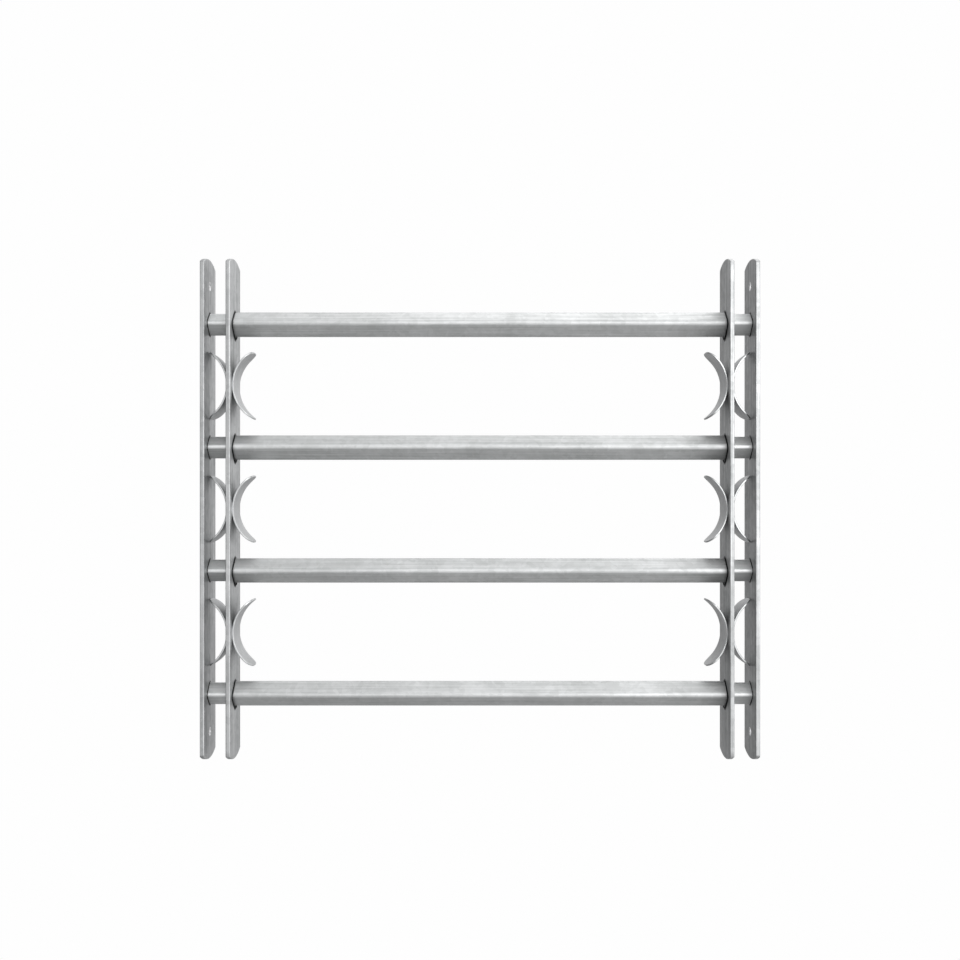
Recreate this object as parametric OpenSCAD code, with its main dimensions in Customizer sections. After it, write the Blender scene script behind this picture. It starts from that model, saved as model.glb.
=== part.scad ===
// Telescopic window security grille.
// Two outer frames of square tubes slide out of four sleeve tubes, and two
// decorated slider plates ride on the sleeves. Every tube is set on edge.
// X runs across the window, Y through it, and Z upwards.
// The origin is the centre of the closed grille. The front faces -Y.

/* [Grille] */
// Outside width with both frames pushed home
closed_w = 496; // [420:1:640]
// Height of the flat bars
grille_h = 450; // [390:1:600]
// Number of crossbars
bar_count = 4; // [3:1:5]
// Distance from a flat bar's end to the axis of the nearest crossbar
end_margin = 58.5; // [46:0.5:72]

/* [Flat bars] */
// Width of the flat bars, front to back
flat_w = 40; // [34:0.5:60]
// Thickness of the flat bars
flat_t = 4; // [3:0.1:6]
// Radius of the arc that the flat bars' ends are cut to
flat_end_r = 40; // [30:1:80]
// Diameter of the wall screw holes
screw_d = 5.5; // [4:0.1:8]
// Distance from a flat bar's end to its wall screw hole
screw_inset = 24; // [16:0.5:30]

/* [Tubes] */
// Width across the flats of a sleeve tube
sleeve_a = 18; // [15:0.5:22]
// Wall of a sleeve tube
sleeve_wall = 1; // [0.8:0.1:1.5]
// Outside corner radius of a sleeve tube
sleeve_r = 4; // [2.5:0.1:5]
// Wall of a sliding tube
slide_wall = 1; // [0.8:0.1:1.5]
// Gap on each side between a sliding tube and its sleeve
slide_gap = 0.25; // [0.15:0.05:0.5]
// Gap left at the middle between the two sliding tubes of one crossbar
centre_gap = 2; // [1:0.5:20]

/* [Side plates] */
// Gap on each side between a sliding tube and its hole in the side plate
seat_gap = 0.4; // [0.1:0.1:0.8]
// Depth of the ring weld that closes the hole at the wall face
weld_depth = 1.5; // [1:0.1:2.5]

/* [Slider plates] */
// Gap between the upper faces of a sleeve and the hole that hangs on it
ride_gap = 0.4; // [0.2:0.1:0.8]
// Gap between the lower faces of a sleeve and the same hole
ride_play = 2; // [0.8:0.1:3]

/* [Scroll strips] */
// Thickness of the curved strips
scroll_t = 1.5; // [1.2:0.1:3]
// Width of the curved strips, front to back
scroll_w = 25; // [18:0.5:32]
// How far the back of a strip's ends stands from the slider plate
scroll_rise = 17.5; // [12:0.5:24]
// Room between a strip's end and the crossbar beyond it
scroll_room = 14; // [8:0.5:18]
// Radius of the strip's four corners, kept under half its width
scroll_corner_r = 10; // [3:0.5:12]
// Depth pressed flat where a strip is spot-welded to the slider plate
scroll_seat = 0.15; // [0.1:0.05:0.3]
// Gap between the outer strips and the side plate with the frame pushed home
scroll_tip_gap = 0.5; // [0.3:0.1:3]

/* [Hidden] */
$fn = 64;
// Overshoot of a cut past the face it opens
over = 1;
// Smallest inside corner radius that a drawn tube keeps
bore_r_min = 0.3;
// How far a strip's corner arcs cross its edges, where a grazing arc would leave a sliver
corner_ease = 0.05;

// Crossbars
pitch = (grille_h - 2 * end_margin) / (bar_count - 1);
function bar_z(i) = (i - (bar_count + 1) / 2) * pitch;
function gap_z(i) = (bar_z(i) + bar_z(i + 1)) / 2;

// A rounded square of side a and corner radius r, measured across its corners
function across_corners(a, r) = (a - 2 * r) * sqrt(2) + 2 * r;

// Sliding tubes follow the sleeves that they run in
slide_a = sleeve_a - 2 * (sleeve_wall + slide_gap);
slide_r = max(sleeve_r - sleeve_wall - slide_gap, bore_r_min);

// The strip's arc passes through its middle, on the plate, and its two ends
scroll_half_h = (pitch - across_corners(sleeve_a, sleeve_r)) / 2 - scroll_room;
arc_rise = scroll_rise + scroll_seat;
arc_half_angle = 2 * atan(arc_rise / scroll_half_h);
arc_r = scroll_half_h / sin(arc_half_angle);
scroll_reach = scroll_rise + scroll_t * cos(arc_half_angle);

// Places along X of the faces on the right half; the left half mirrors them
wall_x = closed_w / 2;
plate_in_x = wall_x - flat_t;
tube_end_x = wall_x - weld_depth;
slider_out_x = plate_in_x - scroll_tip_gap - scroll_reach;
slider_in_x = slider_out_x - flat_t;

SIDES = ["left", "right"];
BARS = [1:bar_count];
GAPS = [1:bar_count - 1];

// Keeps a right-hand piece where it is, or mirrors it to the left
module on_side(side) {
    mirror([side == "left" ? 1 : 0, 0, 0]) children();
}

// Extrudes an outline drawn in Y and Z from x0 to x1
module along_x(x0, x1) {
    translate([x0, 0, 0]) rotate([90, 0, 90]) linear_extrude(x1 - x0) children();
}

// Rectangle w by h with round corners, centred
module rounded_rect(w, h, r) {
    square([w - 2 * r, h], center = true);
    square([w, h - 2 * r], center = true);
    for (x = [-1, 1], y = [-1, 1])
        translate([x * (w / 2 - r), y * (h / 2 - r)]) circle(r);
}

// Outline of a square tube set on edge, centred on crossbar i
module bar_outline(i, a, r) {
    translate([0, bar_z(i)]) rotate(45) rounded_rect(a, a, r);
}

module square_tube(i, x0, x1, a, r, wall) {
    along_x(x0, x1) difference() {
        bar_outline(i, a, r);
        bar_outline(i, a - 2 * wall, max(r - wall, bore_r_min));
    }
}

// Outline of a flat bar, with an arc across each end
module flat_outline() {
    arc_z = grille_h / 2 - flat_end_r;
    square([flat_w, 2 * arc_z], center = true);
    intersection() {
        square([flat_w, grille_h + 2 * over], center = true);
        for (end = [-1, 1]) translate([0, end * arc_z]) circle(flat_end_r);
    }
}

// Flat bar from x0 to x1 with a hole for every crossbar, centred hole_drop below its axis
module flat_bar(x0, x1, hole_a, hole_r, hole_drop = 0) {
    along_x(x0, x1) difference() {
        flat_outline();
        for (i = BARS) translate([0, -hole_drop]) bar_outline(i, hole_a, hole_r);
    }
}

// Sleeve tube of crossbar i, from one slider plate's outer face to the other's
module sleeve(i) {
    color("gainsboro") square_tube(i, -slider_out_x, slider_out_x, sleeve_a, sleeve_r, sleeve_wall);
}

// Flat bar that is screwed to the side of the window opening
module side_plate(side) {
    color("silver") on_side(side) difference() {
        flat_bar(plate_in_x, wall_x, slide_a + 2 * seat_gap, slide_r + seat_gap);
        for (end = [-1, 1])
            translate([plate_in_x - over, 0, end * (grille_h / 2 - screw_inset)])
                rotate([0, 90, 0]) cylinder(d = screw_d, h = flat_t + 2 * over);
    }
}

// Sliding tube, from its seat in the side plate almost to the middle
module slide_tube(side, i) {
    color("lightgray") on_side(side)
        square_tube(i, centre_gap / 2, tube_end_x, slide_a, slide_r, slide_wall);
}

// Ring welds that close the side plate's holes flush with its wall face
module tube_welds(side) {
    color("darkgray") on_side(side) for (i = BARS)
        along_x(tube_end_x, wall_x) difference() {
            bar_outline(i, slide_a + 2 * seat_gap, slide_r + seat_gap);
            bar_outline(i, slide_a - 2 * slide_wall, max(slide_r - slide_wall, bore_r_min));
        }
}

// Flat bar that rides on the sleeves and carries the curved strips
module slider_plate(side) {
    ride_a = sleeve_a + ride_gap + ride_play;
    color("silver") on_side(side)
        flat_bar(slider_in_x, slider_out_x, ride_a, sleeve_r + ride_gap, (ride_play - ride_gap) / sqrt(2));
}

// Curved strip whose back rests on the plane x = 0, with its ends towards +X
module scroll_strip() {
    far = 2 * arc_r;
    difference() {
        translate([arc_r - scroll_seat, scroll_w / 2, 0]) rotate([90, 0, 0])
            linear_extrude(scroll_w) intersection() {
                difference() {
                    circle(arc_r, $fn = 128);
                    circle(arc_r - scroll_t, $fn = 128);
                }
                polygon([[0, 0], [-far, far * tan(arc_half_angle)], [-far, -far * tan(arc_half_angle)]]);
            }
        translate([-far, -far, -far]) cube([far, 2 * far, 2 * far]);
        for (end = [-1, 1], y = [-1, 1]) strip_corner(end, y);
    }
}

// Waste outside one round corner of a strip, at its upper or lower end
module strip_corner(end, y) {
    r = min(scroll_corner_r, scroll_w / 2 - 1);
    inset = r - corner_ease;
    translate([arc_r - scroll_seat, 0, 0]) rotate([0, end * arc_half_angle, 0])
        translate([0, y * (scroll_w / 2 - inset), -end * inset])
            along_x(-arc_r - over, -arc_r + scroll_t + r / 2) difference() {
                translate([y > 0 ? 0 : -2 * r, end > 0 ? 0 : -2 * r]) square(2 * r);
                circle(r);
            }
}

// Strip on the slider plate's outer face
module scroll_out(side, i) {
    color("lightgray") on_side(side) translate([slider_out_x, 0, gap_z(i)]) scroll_strip();
}

// Strip on the slider plate's inner face
module scroll_in(side, i) {
    color("lightgray") on_side(side) translate([slider_in_x, 0, gap_z(i)])
        mirror([1, 0, 0]) scroll_strip();
}

for (i = BARS)
    sleeve(i);
for (side = SIDES)
    side_plate(side);
for (side = SIDES, i = BARS)
    slide_tube(side, i);
for (side = SIDES)
    tube_welds(side);
for (side = SIDES)
    slider_plate(side);
for (side = SIDES, i = GAPS)
    scroll_out(side, i);
for (side = SIDES, i = GAPS)
    scroll_in(side, i);
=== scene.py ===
# %% [markdown]
# # A telescopic window grille
# This grille guards a window from burglars. Two frames of square tube slide out of four wider sleeve
# tubes until their upright flat bars meet the walls, and are screwed there. Two more flat bars ride on
# the sleeves and carry pairs of curved strips. All of it is galvanised steel.
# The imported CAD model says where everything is, how big it is and how it moves. This file rebuilds
# each piece with what a working model leaves out: rolled edges, punched holes, deburred tube ends,
# and the zinc finish. Lengths are in metres, X runs across the window, Y through it and Z up.

# %% Load the frame
import math

import bmesh
import bpy
import numpy as np
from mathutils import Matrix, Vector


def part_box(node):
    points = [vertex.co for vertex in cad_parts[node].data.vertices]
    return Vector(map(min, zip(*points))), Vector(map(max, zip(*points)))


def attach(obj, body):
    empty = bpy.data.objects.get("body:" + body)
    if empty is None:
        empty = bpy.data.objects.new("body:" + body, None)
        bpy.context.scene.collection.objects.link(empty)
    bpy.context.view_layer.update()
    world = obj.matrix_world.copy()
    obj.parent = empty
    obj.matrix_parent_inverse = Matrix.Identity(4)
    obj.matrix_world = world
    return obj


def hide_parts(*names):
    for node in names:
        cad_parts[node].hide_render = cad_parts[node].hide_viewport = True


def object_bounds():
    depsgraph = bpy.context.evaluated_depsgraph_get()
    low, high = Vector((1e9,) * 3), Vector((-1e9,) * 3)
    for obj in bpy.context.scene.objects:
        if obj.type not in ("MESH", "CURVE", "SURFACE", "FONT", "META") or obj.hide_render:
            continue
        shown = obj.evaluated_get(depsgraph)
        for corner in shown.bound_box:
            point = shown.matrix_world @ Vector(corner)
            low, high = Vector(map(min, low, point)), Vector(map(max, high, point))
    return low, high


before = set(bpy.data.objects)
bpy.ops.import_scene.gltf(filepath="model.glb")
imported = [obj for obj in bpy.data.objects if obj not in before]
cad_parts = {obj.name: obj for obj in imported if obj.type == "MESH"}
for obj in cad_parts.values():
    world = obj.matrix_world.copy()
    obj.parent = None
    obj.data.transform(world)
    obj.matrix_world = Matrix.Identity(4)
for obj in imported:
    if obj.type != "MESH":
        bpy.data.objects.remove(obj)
cad_low, cad_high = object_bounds()
MM = 0.001
SIDES = ("left", "right")
BARS = sorted(int(n.split("_")[1]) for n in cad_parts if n.startswith("sleeve_"))
GAPS = BARS[:-1]
print(f"{len(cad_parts)} CAD nodes, {len(BARS)} crossbars")
print("closed grille, mm:", [round((h - l) / MM, 1) for l, h in zip(cad_low, cad_high)])

# %% [markdown]
# ## Sizes
# A box from the frame gives a piece's place and outer size. The sections themselves are standard
# steel stock, so their corner radii and walls are named here once, as a drawing would give them.

# %% Sizes of the steel stock
SLEEVE_SIDE = 18 * MM
SLEEVE_CORNER = 4 * MM
SLIDE_SIDE = 15.5 * MM
SLIDE_CORNER = 2.75 * MM
TUBE_WALL = 1 * MM
BAR_END = 40 * MM
SCREW_HOLE = 5.5 * MM
SCREW_INSET = 24 * MM
RIDE_GAP = 0.4 * MM  # above a sleeve's upper faces, where the slider plate hangs on it
RIDE_PLAY = 2 * MM  # below its lower faces
SEAT_GAP = 0.4 * MM


def middle(node):
    """Centre of a CAD node's box."""
    low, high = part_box(node)
    return (low + high) / 2


bar_z = [middle(f"sleeve_{i}").z for i in BARS]
sleeve_low, sleeve_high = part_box("sleeve_1")
across = (SLEEVE_SIDE - 2 * SLEEVE_CORNER) * math.sqrt(2) + 2 * SLEEVE_CORNER
print("crossbars at, mm:", [round(z / MM, 1) for z in bar_z])
print(f"sleeve across its corners: {across / MM:.2f} mm, CAD {(sleeve_high.z - sleeve_low.z) / MM:.2f} mm")

# %% [markdown]
# ## From grids to meshes
# Every surface here is a grid of points: rows along one parameter, columns along another. numpy
# works out all of the points at once, and the quads only join neighbours. A piece is a few such sheets
# whose borders coincide, so merging the doubled points closes it.
# Each point also carries a number: 0 on a face, 1 on an edge, where the zinc is thinner
# and gets rubbed, 2 where the steel was drilled bare, painted near white as a partly painted highlight,
# and -1 on the torn lip round a tube, painted near black as painted shade for the gap there. The
# materials read that number.


# %% Grid helpers
# values of the per-point number: -1 is painted shade on torn lips, 2 is bare steel with a painted
# highlight, 0 and 1 are faces and rubbed edges
TORN_AND_SHADED, FACE, RUBBED, BARE_AND_HIGHLIT = -1, 0, 1, 2  # the values of worn


def sheet(points, wear_and_light, wrap_rows=False, wrap_cols=True, keep=None):
    """Points, quads and per-point wear and painted-light values of one grid of points shaped (rows,
    columns, 3).
    Quad (i, j) joins point (i, j) to the next row and the next column; a wrapped side joins its
    last points to its first. keep picks the columns that get quads."""
    rows, cols = points.shape[:2]
    i = np.arange(rows if wrap_rows else rows - 1)[:, None]
    j = np.arange(cols if wrap_cols else cols - 1)[None, :]
    if keep is not None:
        j = j[:, keep]
    next_i, next_j = (i + 1) % rows, (j + 1) % cols
    corners = (i * cols + j, i * cols + next_j, next_i * cols + next_j, next_i * cols + j)
    quads = np.stack(corners, axis=-1).reshape(-1, 4)
    return points.reshape(-1, 3), quads, np.broadcast_to(wear_and_light, (rows, cols)).reshape(-1)


def solid(name, sheets):
    """One closed mesh from sheets whose borders meet, smooth, with its faces pointing outwards."""
    first = np.cumsum([0] + [len(points) for points, _, _ in sheets])
    points = np.concatenate([s[0] for s in sheets])
    quads = np.concatenate([s[1] + k for s, k in zip(sheets, first)])
    mesh = bpy.data.meshes.new(name)
    mesh.from_pydata(points, [], quads)
    mesh.attributes.new("wear_and_light", "FLOAT", "POINT").data.foreach_set(
        "value", np.concatenate([s[2] for s in sheets]).astype(np.float32)
    )
    work = bmesh.new()
    work.from_mesh(mesh)
    bmesh.ops.remove_doubles(work, verts=work.verts, dist=0.001 * MM)
    loose = [v for v in work.verts if not v.link_faces]
    bmesh.ops.delete(work, geom=loose, context="VERTS")
    bmesh.ops.recalc_face_normals(work, faces=work.faces)
    open_edges = sum(not e.is_manifold for e in work.edges)
    work.to_mesh(mesh)
    work.free()
    mesh.polygons.foreach_set("use_smooth", np.ones(len(mesh.polygons), bool))
    piece = bpy.data.objects.new(name, mesh)
    bpy.context.scene.collection.objects.link(piece)
    weighted = piece.modifiers.new("flat faces stay flat", "WEIGHTED_NORMAL")
    weighted.keep_sharp = False
    if open_edges:
        print(f"{name} has {open_edges} open edges")
    return piece


def finish_piece(piece, body, node, material):
    """Puts a finished piece on its body, in place of its CAD node, with its material."""
    piece.data.materials.append(material)
    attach(piece, body)
    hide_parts(node)


# %% [markdown]
# ## Outlines
# The tubes stand on edge, so seen along X they are diamonds with round corners. The same outline
# serves the tube, its bore and the punched hole it passes through. All outlines have the same number
# of points and start at the top, so that any two can be joined by a grid.


# %% Closed outlines in Y and Z
ARC_STEPS = 6  # segments on each half of a round corner
FLAT_STEPS = 3  # segments on each half of a flat
EIGHTH = ARC_STEPS + FLAT_STEPS
ROUND = 8 * EIGHTH
STEP = np.arange(ROUND)


def rounded_diamond(side, radius):
    """Core points, outward normals and crown of a square of that side set on edge.
    The outline is the core, a sharp square smaller by the radius, plus the radius times the normal.
    Round a corner the normal turns by a quarter while the core point waits on its tip. Along a flat
    the normal waits while the core point runs to the next tip. The crown is a parabola that is 1 in
    the middle of each flat and 0 at its ends."""
    quarter = 2 * EIGHTH
    marks = [0, ARC_STEPS, quarter - ARC_STEPS, quarter]
    within = STEP % quarter
    run = np.interp(within, marks, [0, 0, 1, 1])
    turn = 90 * (STEP // quarter) + np.interp(within, marks, [0, 45, 45, 90])
    tip = np.radians(90 - 90 * np.arange(5))
    reach = (side / 2 - radius) * math.sqrt(2)
    place = STEP // quarter + run
    core = np.stack([np.interp(place, np.arange(5), reach * f(tip)) for f in (np.cos, np.sin)], 1)
    angle = np.radians(90 - turn)
    return core, np.stack([np.cos(angle), np.sin(angle)], 1), 4 * run * (1 - run)


def circle(radius):
    """Points and outward normals of a circle that starts at the top."""
    angle = math.pi / 2 - 2 * math.pi * STEP / ROUND
    normal = np.stack([np.cos(angle), np.sin(angle)], 1)
    return radius * normal, normal


def cell(half_w, low, hole_z, high):
    """Rectangle round a hole: evenly spaced points between the middles of its sides and its corners."""
    place = STEP / EIGHTH
    y = np.interp(place, range(9), half_w * np.array([0, 1, 1, 1, 0, -1, -1, -1, 0]))
    z = np.interp(place, range(9), [high, high, hole_z, low, low, low, hole_z, high, high])
    return np.stack([y, z], 1)


def end_arc(points, half_w, half_h, radius):
    """Lifts the points along a bar's ends onto the arc z = centre + root(radius^2 - y^2).
    Also gives the outward normal of each point on the bar's outline, and zero inside it. Where side
    and arc meet, it is the mitre (a + b) / (1 + a.b) of their normals a and b."""
    y, z = points.T
    centre = half_h - radius
    rise = np.sqrt(radius**2 - y**2)
    corner_z = centre + math.sqrt(radius**2 - half_w**2)
    at_side = np.abs(y) > half_w - 1e-9
    at_end = np.abs(z) > corner_z - 1e-9
    z = np.where(at_end, np.sign(z) * (centre + rise), z)
    side_normal = np.stack([at_side * np.sign(y), 0 * y], 1)
    end_normal = np.stack([y, np.sign(z) * rise], 1) / radius * at_end[:, None]
    meeting = np.sum(side_normal * end_normal, axis=1, keepdims=True)
    return np.stack([y, z], 1), (side_normal + end_normal) / (1 + meeting)


# %% [markdown]
# ## Flat bars
# A flat bar is rolled steel with rounded edges, cut to length in a press that leaves a shallow arc
# across each end.
# The diamond holes are punched from the outer side. The edge there is drawn in, and on the inner side
# the steel tears out in a low lip, painted near black: a painted shade that draws the dark gap line round
# each tube.
# One way is to cut holes with a boolean, but that leaves long thin triangles that shade badly.
# Here the bar is divided into cells, one round each hole, and each cell is a grid that runs from the
# hole's edge to the cell's edge. A rim then runs along the outline and round every hole.


# %% The flat bar
ROLLED_EDGE = 0.7 * MM
PUNCHED_EDGE = 0.45 * MM
TORN_LIP = 0.9 * MM  # height of the lip on a slider plate; a side plate's is half as high
SHARP_EDGE = 0.15 * MM
SCREW_EDGE = 0.9 * MM
EDGE_BAND = 1.2 * MM
RIM_STEPS = 4


def at_x(outline, x):
    """Outline points in Y and Z, placed at x."""
    return np.concatenate([np.full((len(outline), 1), x), outline], axis=1)


def rim(outline, normal, x0, x1, edge0, edge1, wear_and_light0, wear_and_light1, keep=None):
    """The surface that joins the two faces along an outline.
    Its section runs from face to face: a quarter arc of radius edge0, a flat, a quarter arc of edge1.
    A negative radius bends the arc outwards, which makes a lip as high as the radius."""
    a = np.linspace(0, math.pi / 2, RIM_STEPS + 1)
    x = np.concatenate([x0 + edge0 * (1 - np.cos(a)), x1 - edge1 * (1 - np.cos(a[::-1]))])
    inset = np.concatenate([abs(edge0) * (1 - np.sin(a)), abs(edge1) * (1 - np.sin(a[::-1]))])
    points = np.stack([at_x(outline - d * normal, px) for px, d in zip(x, inset)])
    return sheet(points, np.repeat([wear_and_light0, wear_and_light1], RIM_STEPS + 1)[:, None], keep=keep)


def flat_bar(name, node, holes):
    """A flat bar that fills a CAD node's box. holes holds, from the lowest to the highest, each hole's
    height, its outline about its centre, its outward normals, and its edge radius and its wear and
    painted-light value on each face."""
    (x0, _, _), (x1, half_w, half_h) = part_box(node)
    corner_z = half_h - BAR_END + math.sqrt(BAR_END**2 - half_w**2)
    heights = [hole[0] for hole in holes]
    between = [(a + b) / 2 for a, b in zip(heights, heights[1:])]
    sheets = []
    for hole, low, high in zip(holes, [-corner_z] + between, between + [corner_z]):
        z, hole_outline, hole_normal, edge0, edge1, wear_and_light0, wear_and_light1 = hole
        hole_outline = hole_outline + [0, z]
        outline, normal = end_arc(cell(half_w, low, z, high), half_w, half_h, BAR_END)
        on_outline = np.any(normal != 0, axis=1)
        rim_columns = np.flatnonzero(on_outline & np.roll(on_outline, -1))
        for x, edge, hole_wear_and_light in ((x0, edge0, wear_and_light0), (x1, edge1, wear_and_light1)):
            inner = hole_outline + abs(edge) * hole_normal
            outer = outline - ROLLED_EDGE * normal
            way = outer - inner
            band = EDGE_BAND * way / np.linalg.norm(way, axis=1, keepdims=True)
            rings = [inner, inner + band, (inner + outer) / 2, outer - band, outer]
            wear_and_light = np.zeros((len(rings), ROUND))
            wear_and_light[0], wear_and_light[-1] = hole_wear_and_light, on_outline * RUBBED
            sheets.append(sheet(np.stack([at_x(ring, x) for ring in rings]), wear_and_light))
        sheets.append(rim(hole_outline, -hole_normal, x0, x1, edge0, edge1, wear_and_light0, wear_and_light1))
        sheets.append(rim(outline, normal, x0, x1, ROLLED_EDGE, ROLLED_EDGE, RUBBED, RUBBED,
                          keep=rim_columns))
    return solid(name, sheets)


def low_high(inner, outer, out):
    """Values for a flat bar's low and high X face, from those of its inner and outer face. out is
    the direction along X that its outer face looks in."""
    return (inner, outer)[::out]


def tube_holes(side, corner, edges, wear_and_light, drop=0.0):
    """Diamond holes for tubes at every crossbar, lowered by drop, with their edge radii and their wear and
    painted-light values on the low and high X face."""
    core, normal, _ = rounded_diamond(side, corner)
    return [(z - drop, core + corner * normal, normal, *edges, *wear_and_light) for z in bar_z]


# %% [markdown]
# ## Tubes
# Square tube is roll-formed from strip and welded along one flat. Its corners are round, its flats
# are very slightly crowned, and its sawn ends are deburred. The whole wall is one grid: a section
# through the wall, outside, round the end, back inside and round the other end, is carried round the
# diamond. At depth d below the surface the outline is the core plus (radius - d) times the normal.


# %% The tube
END_BREAK = 0.2 * MM
SLEEVE_CROWN = 0.10 * MM
SLIDE_CROWN = 0.04 * MM
LENGTHWISE = 24


def wall_section(x0, x1, wall, end_break):
    """Closed section through a tube's wall, as X and depth below the outer surface."""
    a = np.linspace(0, math.pi / 2, 4)
    bend_x, bend_d = end_break * (1 - np.sin(a)), end_break * (1 - np.cos(a))
    along = np.linspace(x0 + end_break, x1 - end_break, LENGTHWISE)
    x = [along, x1 - bend_x, x1 - bend_x[::-1], along[::-1], x0 + bend_x, x0 + bend_x[::-1]]
    d = [0 * along, bend_d, wall - bend_d[::-1], wall + 0 * along, wall - bend_d, bend_d[::-1]]
    return np.concatenate(x), np.concatenate(d)


def tube(name, node, side, corner, crown):
    """Square tube on edge that fills a CAD node's length, its outside crowned by that much."""
    low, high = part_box(node)
    centre = [0, middle(node).z]
    core, normal, bulge = rounded_diamond(side, corner)
    x, d = wall_section(low.x, high.x, TUBE_WALL, END_BREAK)
    outside = np.where(d < TUBE_WALL / 2, crown, 0)
    depth = corner - d[:, None, None] + (outside[:, None] * bulge)[:, :, None]
    outline = core + centre + depth * normal
    points = np.concatenate([np.broadcast_to(x[:, None, None], outline.shape[:2] + (1,)), outline], 2)
    at_end = (x < low.x + END_BREAK) | (x > high.x - END_BREAK)
    return solid(name, [sheet(points, at_end[:, None] * 1.0, wrap_rows=True)])


# %% [markdown]
# ## Curved strips
# Each strip is flat stock with its four corners rounded, then bent round a former to an arc and
# spot-welded at the middle of its back. It is easiest to work out flat, as a length s and a width y
# with a rim round it, and then to bend: s becomes an angle on the arc, and the depth in the
# steel becomes the distance from the arc's outside towards its centre.


# %% The curved strip
STRIP_THICK = 1.5 * MM
STRIP_CORNER = 10 * MM
STRIP_EDGE = 0.35 * MM
SEAT_DEPTH = 0.15 * MM
STRIP_COLS = 12


def strip_shape(node):
    """Radius of a strip's back and half its angle, from its CAD box.
    The back's ends lie at the box's full height, at radius r and angle a: r sin a is half the height,
    and r - (r - thickness) cos a is the box's depth with the pressed seat added."""
    low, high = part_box(node)
    half_h, reach = (high.z - low.z) / 2, high.x - low.x + SEAT_DEPTH
    angle = np.linspace(math.radians(40), math.radians(80), 4001)
    radius = half_h / np.sin(angle)
    miss = radius - (radius - STRIP_THICK) * np.cos(angle) - reach
    best = np.argmin(np.abs(miss))
    return radius[best], angle[best]


def curved_strip(name, node, ends_to):
    """A strip whose back rests on the slider plate and whose ends point along X in that direction."""
    low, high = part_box(node)
    back_x = low.x if ends_to > 0 else high.x
    centre_z = (low.z + high.z) / 2
    half_y = (high.y - low.y) / 2
    radius, half_angle = strip_shape(node)
    half_s = radius * half_angle

    def half_width(s, inset):
        """Half the flat strip's width at s: full, then a quarter circle of the corner radius."""
        past = np.maximum(np.abs(s) - (half_s - STRIP_CORNER), 0)
        return half_y - STRIP_CORNER + np.sqrt(np.maximum((STRIP_CORNER - inset) ** 2 - past**2, 0))

    def bent(s, y, depth):
        """The flat strip's point (s, y) at a depth in the steel, bent and put in place."""
        angle = s / radius
        off_plate = radius - SEAT_DEPTH - (radius - depth) * np.cos(angle)
        x = back_x + ends_to * np.maximum(off_plate, 0)
        z = centre_z + (radius - depth) * np.sin(angle)
        return np.stack(np.broadcast_arrays(x, y, z), axis=-1)

    # rows crowd towards the ends, where the corners turn
    row = half_s * np.sin(np.linspace(-math.pi / 2, math.pi / 2, 73))
    column = np.sin(np.linspace(-math.pi / 2, math.pi / 2, STRIP_COLS + 1))
    a = np.linspace(0, math.pi / 2, RIM_STEPS + 1)
    sheets = []
    inset_s = row * (half_s - STRIP_EDGE) / half_s
    wide = half_width(inset_s, STRIP_EDGE)
    near_end = np.abs(row) > half_s - 1e-9
    for depth in (0.0, STRIP_THICK):
        grid = bent(inset_s[:, None], wide[:, None] * column, depth)
        wear_and_light = near_end[:, None] | (np.abs(column) > 1 - 1e-9)
        sheets.append(sheet(grid, wear_and_light * 1.0, wrap_cols=False))
    # the rim follows the faces' border: up one side, across the end, down the other side and back
    border_s = np.concatenate([inset_s, np.full(STRIP_COLS - 1, inset_s[-1]),
                               inset_s[::-1], np.full(STRIP_COLS - 1, inset_s[0])])
    border_y = np.concatenate([wide, wide[-1] * column[-2:0:-1], -wide[::-1], wide[0] * column[1:-1]])
    past = np.maximum(np.abs(border_s) - (half_s - STRIP_CORNER), 0) * np.sign(border_s)
    aside = np.where(np.abs(border_y) > half_y - STRIP_CORNER - 1e-9,
                     border_y - np.sign(border_y) * (half_y - STRIP_CORNER), 0)
    at_end = np.abs(border_s) > half_s - STRIP_EDGE - 1e-9
    normal = np.where(at_end & (np.abs(aside) < 1e-9), [np.sign(border_s), 0 * past], [past, aside])
    normal = normal / np.maximum(np.linalg.norm(normal, axis=0), 1e-12)
    depth = np.concatenate([STRIP_EDGE * (1 - np.cos(a)), STRIP_THICK - STRIP_EDGE * (1 - np.cos(a[::-1]))])
    out = np.concatenate([STRIP_EDGE * np.sin(a), STRIP_EDGE * np.sin(a[::-1])])
    rim_s = border_s + out[:, None] * normal[0]
    rim_y = border_y + out[:, None] * normal[1]
    sheets.append(sheet(bent(rim_s, rim_y, depth[:, None]), 1.0))
    return solid(name, sheets)


# %% [markdown]
# ## Ring welds
# On its wall face each side plate is welded to the ends of its tubes, inside the hole, and ground
# flush so that the plate lies flat on the wall. The weld is a ring: its section is carried round the
# same diamond as the tube, and its face dips a little at the toes and ripples as weld metal does.


# %% The ring welds
RIPPLES = 24
RIPPLE_DEPTH = 0.05 * MM
TOE_DIP = 0.12 * MM


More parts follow.
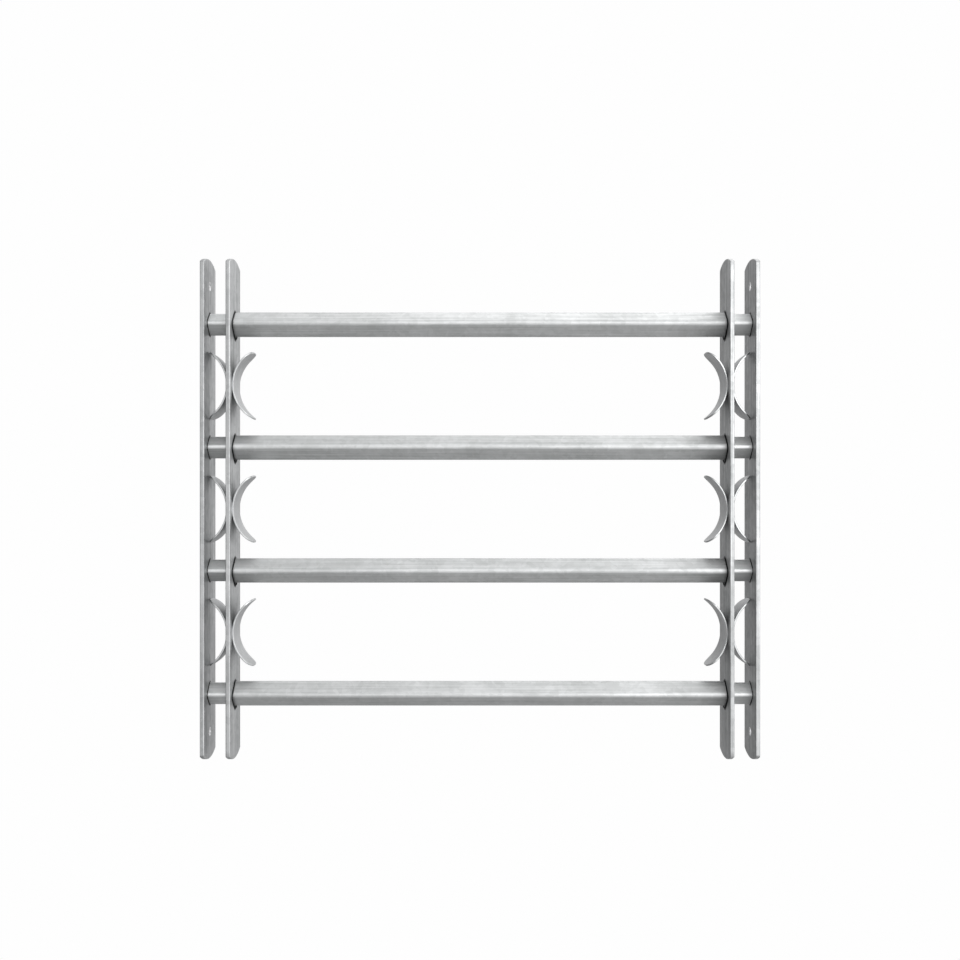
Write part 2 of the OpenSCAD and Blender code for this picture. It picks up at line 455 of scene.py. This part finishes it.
def ring_welds(name, node, wall_side):
    """Four weld rings in one piece. wall_side is the direction along X that the wall lies in."""
    low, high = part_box(node)
    wall_x, inner_x = (high.x, low.x) if wall_side > 0 else (low.x, high.x)
    core, normal, _ = rounded_diamond(SLIDE_SIDE, SLIDE_CORNER)
    across_weld = np.linspace(0, 1, 7)
    ripple = RIPPLE_DEPTH * (1 + np.sin(STEP * 2 * math.pi * RIPPLES / ROUND))
    dip = TOE_DIP * (2 * across_weld - 1) ** 2
    face_x = wall_x - wall_side * (dip[:, None] + ripple * np.sin(math.pi * across_weld)[:, None])
    face_d = -SEAT_GAP + (TUBE_WALL + SEAT_GAP) * across_weld
    back_x = np.full((2, ROUND), inner_x)
    x = np.concatenate([face_x, back_x])
    d = np.concatenate([face_d, [TUBE_WALL, -SEAT_GAP]])
    sheets = []
    for z in bar_z:
        outline = core + [0, z] + (SLIDE_CORNER - d)[:, None, None] * normal
        sheets.append(sheet(np.concatenate([x[:, :, None], outline], 2), 0.5, wrap_rows=True))
    return solid(name, sheets)


# %% [markdown]
# ## The zinc finish
# The steel is galvanised: dipped or plated in zinc, which dries to a light, dull, neutral
# grey metal. Up close it shows fine crystals, a few millimetres across, that each catch the
# light a little differently; lines along the steel from rolling; and cloudier patches. Edges, where
# the coat is thin and gets rubbed, are a little brighter and smoother.
# A picture of zinc would repeat and would not follow the pieces. Instead each of those marks is a
# noise pattern with its real size, and all of the finishes are mixtures of the same marks.


# %% Helpers for materials
def linear(hex_colour):
    """Linear RGBA from an sRGB hex colour: a power curve of 2.4 with a straight foot."""
    srgb = np.array([int(hex_colour[i : i + 2], 16) for i in (1, 3, 5)]) / 255
    rgb = np.where(srgb <= 0.04045, srgb / 12.92, ((srgb + 0.055) / 1.055) ** 2.4)
    return (*rgb.tolist(), 1.0)


def add(tree, kind, inputs, **settings):
    """Adds a node with its settings; each input is linked to a socket or given a value."""
    node = tree.nodes.new(kind)
    for key, value in settings.items():
        setattr(node, key, value)
    for key, value in inputs.items():
        if isinstance(value, bpy.types.NodeSocket):
            tree.links.new(value, node.inputs[key])
        else:
            node.inputs[key].default_value = value
    return node


CLOUDS = 0.5  # how strongly the cloudy patches show
LINE_LENGTH_MM, CLOUD_MM, GRIT_MM = 120, 38, 0.8  # sizes of the marks that every finish shares
# the dark tint is painted shade on the torn lips round the tubes; the white tint is bare drilled steel
# brightened as a painted highlight
PAINTED_GAP_SHADE, BARE_HIGHLIGHT_TINT = "#2c2d2e", "#f8f8f8"


def per_mm(size):
    """Pattern scale whose features are about that many millimetres across."""
    return 1 / (size * MM)


def zinc(name, dark, light, along, roughness, line_mm, crystal_mm, lines, crystals, wear):
    """A galvanised finish. along is 0, 1 or 2 for rolling lines along X, Y or Z; lines and crystals
    are how strongly each shows; wear is how much smoother and, four times that, lighter the edges are."""
    material = bpy.data.materials.new(name)
    material.use_nodes = True
    tree = material.node_tree
    tree.nodes.clear()
    place = add(tree, "ShaderNodeTexCoord", {}).outputs["Object"]
    stretch = [per_mm(line_mm)] * 3
    stretch[along] = per_mm(LINE_LENGTH_MM)
    drawn = add(tree, "ShaderNodeMapping", {"Vector": place, "Scale": stretch}).outputs["Vector"]
    rolled = add(tree, "ShaderNodeTexNoise",
                 {"Vector": drawn, "Scale": 1.0, "Detail": 3.0, "Roughness": 0.6})
    cloud = add(tree, "ShaderNodeTexNoise",
                {"Vector": place, "Scale": per_mm(CLOUD_MM), "Detail": 4.0, "Roughness": 0.6})
    crystal = add(tree, "ShaderNodeTexVoronoi", {"Vector": place, "Scale": per_mm(crystal_mm)})
    tone_of = add(tree, "ShaderNodeSeparateColor", {"Color": crystal.outputs["Color"]}).outputs["Red"]
    grit = add(tree, "ShaderNodeTexNoise",
               {"Vector": place, "Scale": per_mm(GRIT_MM), "Detail": 2.0, "Roughness": 0.5}).outputs["Fac"]
    wear_and_light = add(tree, "ShaderNodeAttribute", {}, attribute_name="wear_and_light").outputs["Fac"]
    # how light the zinc is: clouds, plus lines and crystals about their mean
    lined = add(tree, "ShaderNodeMath", {0: rolled.outputs["Fac"], 1: lines, 2: -0.5 * lines},
                operation="MULTIPLY_ADD").outputs["Value"]
    grained = add(tree, "ShaderNodeMath", {0: tone_of, 1: crystals, 2: -0.5 * crystals},
                  operation="MULTIPLY_ADD").outputs["Value"]
    marks = add(tree, "ShaderNodeMath", {0: lined, 1: grained}, operation="ADD").outputs["Value"]
    clouded = add(tree, "ShaderNodeMath", {0: cloud.outputs["Fac"], 1: CLOUDS, 2: 0.5 - 0.5 * CLOUDS},
                  operation="MULTIPLY_ADD").outputs["Value"]
    tone = add(tree, "ShaderNodeMath", {0: clouded, 1: marks}, operation="ADD").outputs["Value"]
    # this also darkens the torn lips as painted shade and lightens the bare bores as a painted highlight
    rub_and_painted_light = add(tree, "ShaderNodeMath", {0: wear_and_light, 1: grit}, operation="MULTIPLY").outputs["Value"]
    brighter = add(tree, "ShaderNodeMath", {0: rub_and_painted_light, 1: 4 * wear, 2: tone}, operation="MULTIPLY_ADD")
    span = add(tree, "ShaderNodeMapRange",
               {"Value": brighter.outputs["Value"], "From Min": 0.2, "From Max": 0.8}).outputs["Result"]
    colour = add(tree, "ShaderNodeMix", {"Factor": span, "A": linear(dark), "B": linear(light)},
                 data_type="RGBA").outputs["Result"]
    # the torn lip is painted near black, a painted shade for the gap round each tube; drilled steel is bare
    # and painted near white, partly a painted highlight
    for start, full, tint in ((FACE, TORN_AND_SHADED, PAINTED_GAP_SHADE), (RUBBED, BARE_AND_HIGHLIT, BARE_HIGHLIGHT_TINT)):
        share = add(tree, "ShaderNodeMapRange",
                    {"Value": wear_and_light, "From Min": start, "From Max": full}).outputs["Result"]
        colour = add(tree, "ShaderNodeMix", {"Factor": share, "A": colour, "B": linear(tint)},
                     data_type="RGBA").outputs["Result"]
    dull = add(tree, "ShaderNodeMapRange",
               {"Value": tone, "From Min": 0.2, "From Max": 0.8,
                "To Min": roughness + 0.07, "To Max": roughness - 0.07}).outputs["Result"]
    smooth = add(tree, "ShaderNodeMath", {0: rub_and_painted_light, 1: -wear, 2: dull}, operation="MULTIPLY_ADD")
    relief = add(tree, "ShaderNodeMath", {0: grit, 1: 0.35, 2: marks}, operation="MULTIPLY_ADD")
    bump = add(tree, "ShaderNodeBump",
               {"Height": relief.outputs["Value"], "Strength": 0.35, "Distance": 0.06 * MM})
    metal = add(tree, "ShaderNodeBsdfPrincipled",
                {"Base Color": colour, "Metallic": 1.0, "Roughness": smooth.outputs["Value"],
                 "Normal": bump.outputs["Normal"]})
    add(tree, "ShaderNodeOutputMaterial", {"Surface": metal.outputs["BSDF"]})
    return material


# %% The finishes
# Drawn or rolled sections have their lines along their length; the crystals are small on thin steel.
ALONG_X, ALONG_Y, ALONG_Z = 0, 1, 2
sleeve_zinc = zinc("galvanised_sleeve_tube", "#b2b4b3", "#dedfdf", ALONG_X, roughness=0.53,
                   line_mm=2.0, crystal_mm=4.0, lines=0.70, crystals=0.12, wear=0.12)
# the sliding tubes' zinc is lighter than the sleeves': partly their own brighter zinc, partly painted light
# that lifts the shade falling on them between the plates
slide_zinc_painted_lighter = zinc("galvanised_sliding_tube_painted_lighter", "#cfd1d0", "#f3f4f4", ALONG_X, roughness=0.53,
                  line_mm=1.8, crystal_mm=3.0, lines=0.70, crystals=0.12, wear=0.12)
bar_zinc = zinc("galvanised_flat_bar", "#939595", "#c9caca", ALONG_Z, roughness=0.46,
                line_mm=2.2, crystal_mm=4.5, lines=1.10, crystals=0.14, wear=0.02)
strip_zinc = zinc("galvanised_curved_strip", "#9c9e9e", "#d2d3d3", ALONG_Z, roughness=0.40,
                  line_mm=2.0, crystal_mm=3.0, lines=0.35, crystals=0.10, wear=0.05)
weld_zinc = zinc("zinc_sprayed_weld", "#8b8d8c", "#b9bbba", ALONG_Y, roughness=0.58,
                 line_mm=0.9, crystal_mm=1.8, lines=0.25, crystals=0.20, wear=0.05)

# %% [markdown]
# ## Building the pieces
# Each piece takes the place of one CAD node and rides on that node's body, so that it moves with it.

# %% Sleeves and sliding tubes
for i in BARS:
    node = f"sleeve_{i}"
    piece = tube(f"{node}_tube", node, SLEEVE_SIDE, SLEEVE_CORNER, SLEEVE_CROWN)
    finish_piece(piece, "centre_tubes", node, sleeve_zinc)
    for side in SIDES:
        node = f"{side}_tube_{i}"
        piece = tube(f"{side}_sliding_tube_{i}", node, SLIDE_SIDE, SLIDE_CORNER, SLIDE_CROWN)
        finish_piece(piece, f"{side}_frame", node, slide_zinc_painted_lighter)
print(f"tubes: {ROUND} points round, {len(piece.data.vertices)} points each")

# %% Side plates with their screw holes and welds
screw_z = cad_high.z - SCREW_INSET
screw_outline, screw_normal = circle(SCREW_HOLE / 2)
for side, out in zip(SIDES, (-1, 1)):
    # the outer face is the wall face; the screw holes were drilled after the zinc, and
    # countersunk a little on the inner face; their bare bores are painted near white, partly a painted
    # highlight
    breaks = low_high(SCREW_EDGE, SHARP_EDGE, out)
    screws = [(z, screw_outline, screw_normal, *breaks, BARE_AND_HIGHLIT, BARE_AND_HIGHLIT) for z in (-screw_z, screw_z)]
    # the torn lip on the inner face is painted dark: painted shade in the gap round each tube
    tubes = tube_holes(SLIDE_SIDE + 2 * SEAT_GAP, SLIDE_CORNER + SEAT_GAP,
                       low_high(-TORN_LIP / 2, SHARP_EDGE, out), low_high(TORN_AND_SHADED, RUBBED, out))
    node = f"{side}_side_plate"
    piece = flat_bar(f"{side}_side_bar", node, screws[:1] + tubes + screws[1:])
    finish_piece(piece, f"{side}_frame", node, bar_zinc)
    welds = ring_welds(f"{side}_ring_welds", f"{side}_tube_welds", out)
    finish_piece(welds, f"{side}_frame", f"{side}_tube_welds", weld_zinc)
print(f"side plate: {len(piece.data.vertices)} points")

# %% Slider plates with their curved strips
for side, out in zip(SIDES, (-1, 1)):
    body = f"{side}_slider"
    node = f"{side}_slider_plate"
    # the torn lip on the inner face is painted dark: painted shade in the gap round each sleeve
    holes = tube_holes(SLEEVE_SIDE + RIDE_GAP + RIDE_PLAY, SLEEVE_CORNER + RIDE_GAP,
                       low_high(-TORN_LIP, PUNCHED_EDGE, out), low_high(TORN_AND_SHADED, RUBBED, out),
                       (RIDE_PLAY - RIDE_GAP) / math.sqrt(2))
    finish_piece(flat_bar(f"{side}_slider_bar", node, holes), body, node, bar_zinc)
    for i in GAPS:
        for place, ends_to in (("out", out), ("in", -out)):
            node = f"{side}_scroll_{place}_{i}"
            piece = curved_strip(f"{side}_curved_strip_{place}_{i}", node, ends_to)
            finish_piece(piece, body, node, strip_zinc)
radius, half_angle = strip_shape("right_scroll_out_1")
print(f"strips: radius {radius / MM:.1f} mm, {2 * math.degrees(half_angle):.0f} degrees")

# %% [markdown]
# ## Studio
# The grille hangs in a white room: a wide bowl whose floor lies well below it and curves up into the
# wall all round, so that every view has the same pale ground. The bowl is shown to the camera only.
# What the steel mirrors is the soft light of the studio: bright above, dimmer below, brighter on
# the right than on the left.

# %% The white bowl
FLOOR_DROP = 0.45
BOWL_RADIUS = 6.0
BEND = 1.5
turn = np.linspace(0, 2 * math.pi, 96, endpoint=False)
bend = np.linspace(0, math.pi / 2, 12)
profile_r = np.concatenate([[0.0], BOWL_RADIUS - BEND + BEND * np.sin(bend), [BOWL_RADIUS]])
profile_z = np.concatenate([[0], BEND - BEND * np.cos(bend), [2 * BOWL_RADIUS]])
bowl_grid = np.stack([profile_r[:, None] * np.cos(turn), profile_r[:, None] * np.sin(turn),
                      cad_low.z - FLOOR_DROP + profile_z[:, None] + 0 * turn], axis=-1)
points, quads, _ = sheet(bowl_grid, 0.0)
mesh = bpy.data.meshes.new("studio_floor")
mesh.from_pydata(points, [], quads)
bowl = bpy.data.objects.new("studio_floor", mesh)
bpy.context.scene.collection.objects.link(bowl)
white = bpy.data.materials.new("white_paper")
white.use_nodes = True
white.node_tree.nodes.clear()
paper = add(white.node_tree, "ShaderNodeEmission", {"Color": linear("#fefefe"), "Strength": 1.0})
add(white.node_tree, "ShaderNodeOutputMaterial", {"Surface": paper.outputs["Emission"]})
mesh.materials.append(white)
for ray in ("diffuse", "glossy", "transmission", "volume_scatter", "shadow"):
    setattr(bowl, f"visible_{ray}", False)
print(f"floor {FLOOR_DROP} m below the grille")

# %% The studio's light
world = bpy.data.worlds.new("studio")
bpy.context.scene.world = world
world.use_nodes = True
sky = world.node_tree
sky.nodes.clear()
direction = add(sky, "ShaderNodeTexCoord", {}).outputs["Generated"]
split = add(sky, "ShaderNodeSeparateXYZ", {"Vector": direction})


def glow(aim, tightness, strength):
    """Soft pool of light round the direction aim: strength times the cosine of the angle from aim,
    raised to the power tightness."""
    facing = add(sky, "ShaderNodeVectorMath", {0: direction, 1: Vector(aim).normalized()},
                 operation="DOT_PRODUCT").outputs["Value"]
    front = add(sky, "ShaderNodeMath", {0: facing, 1: 0.0}, operation="MAXIMUM").outputs["Value"]
    pool = add(sky, "ShaderNodeMath", {0: front, 1: tightness}, operation="POWER").outputs["Value"]
    return add(sky, "ShaderNodeMath", {0: pool, 1: strength}, operation="MULTIPLY").outputs["Value"]


def total(*parts):
    """Sum of several sockets."""
    result = parts[0]
    for part in parts[1:]:
        result = add(sky, "ShaderNodeMath", {0: result, 1: part}, operation="ADD").outputs["Value"]
    return result


height = add(sky, "ShaderNodeMapRange", {"Value": split.outputs["Z"], "From Min": -1.0, "From Max": 1.0,
                                         "To Min": 0.42, "To Max": 0.68}).outputs["Result"]
pools = total(height, glow((0.1, 0.25, 1.0), 1.5, 0.50), glow((0.3, -1.0, 0.15), 3.0, 1.15),
              glow((1.0, 0.0, 0.3), 1.5, 0.20))
rightness = add(sky, "ShaderNodeMapRange", {"Value": split.outputs["X"], "From Min": -1.0, "From Max": 1.0,
                                            "To Min": 0.42, "To Max": 1.48}).outputs["Result"]
brightness = add(sky, "ShaderNodeMath", {0: pools, 1: rightness}, operation="MULTIPLY").outputs["Value"]
backdrop = add(sky, "ShaderNodeBackground", {"Color": linear("#fefeff"), "Strength": brightness})
add(sky, "ShaderNodeOutputWorld", {"Surface": backdrop.outputs["Background"]})


def soft_light(name, place, aim, size, watts):
    """A square soft light at place, turned towards aim."""
    lamp = bpy.data.lights.new(name, "AREA")
    lamp.shape, lamp.size, lamp.energy = "SQUARE", size, watts
    light = bpy.data.objects.new(name, lamp)
    light.location = place
    way = Vector(aim) - Vector(place)
    light.rotation_mode = "QUATERNION"
    light.rotation_quaternion = way.to_track_quat("-Z", "Y")
    light.visible_camera = False
    bpy.context.scene.collection.objects.link(light)


soft_light("overhead", (0.5, 0.4, 1.8), (0, 0, 0), 1.4, 5)
soft_light("front_right", (0.9, -1.9, 0.5), (0.2, 0, 0), 0.9, 5)
print("2 soft lights")

# %% The camera
VIEW_DISTANCE = 0.94
camera_data = bpy.data.cameras.new("camera")
camera_data.sensor_width = 36.0
camera_data.lens = 39.0
camera_data.shift_y = 0.0302
camera = bpy.data.objects.new("camera", camera_data)
camera.location = (0, -VIEW_DISTANCE, 0)
camera.rotation_euler = (math.pi / 2, 0, 0)
bpy.context.scene.collection.objects.link(camera)
bpy.context.scene.camera = camera
bpy.context.scene.view_settings.view_transform = "Standard"
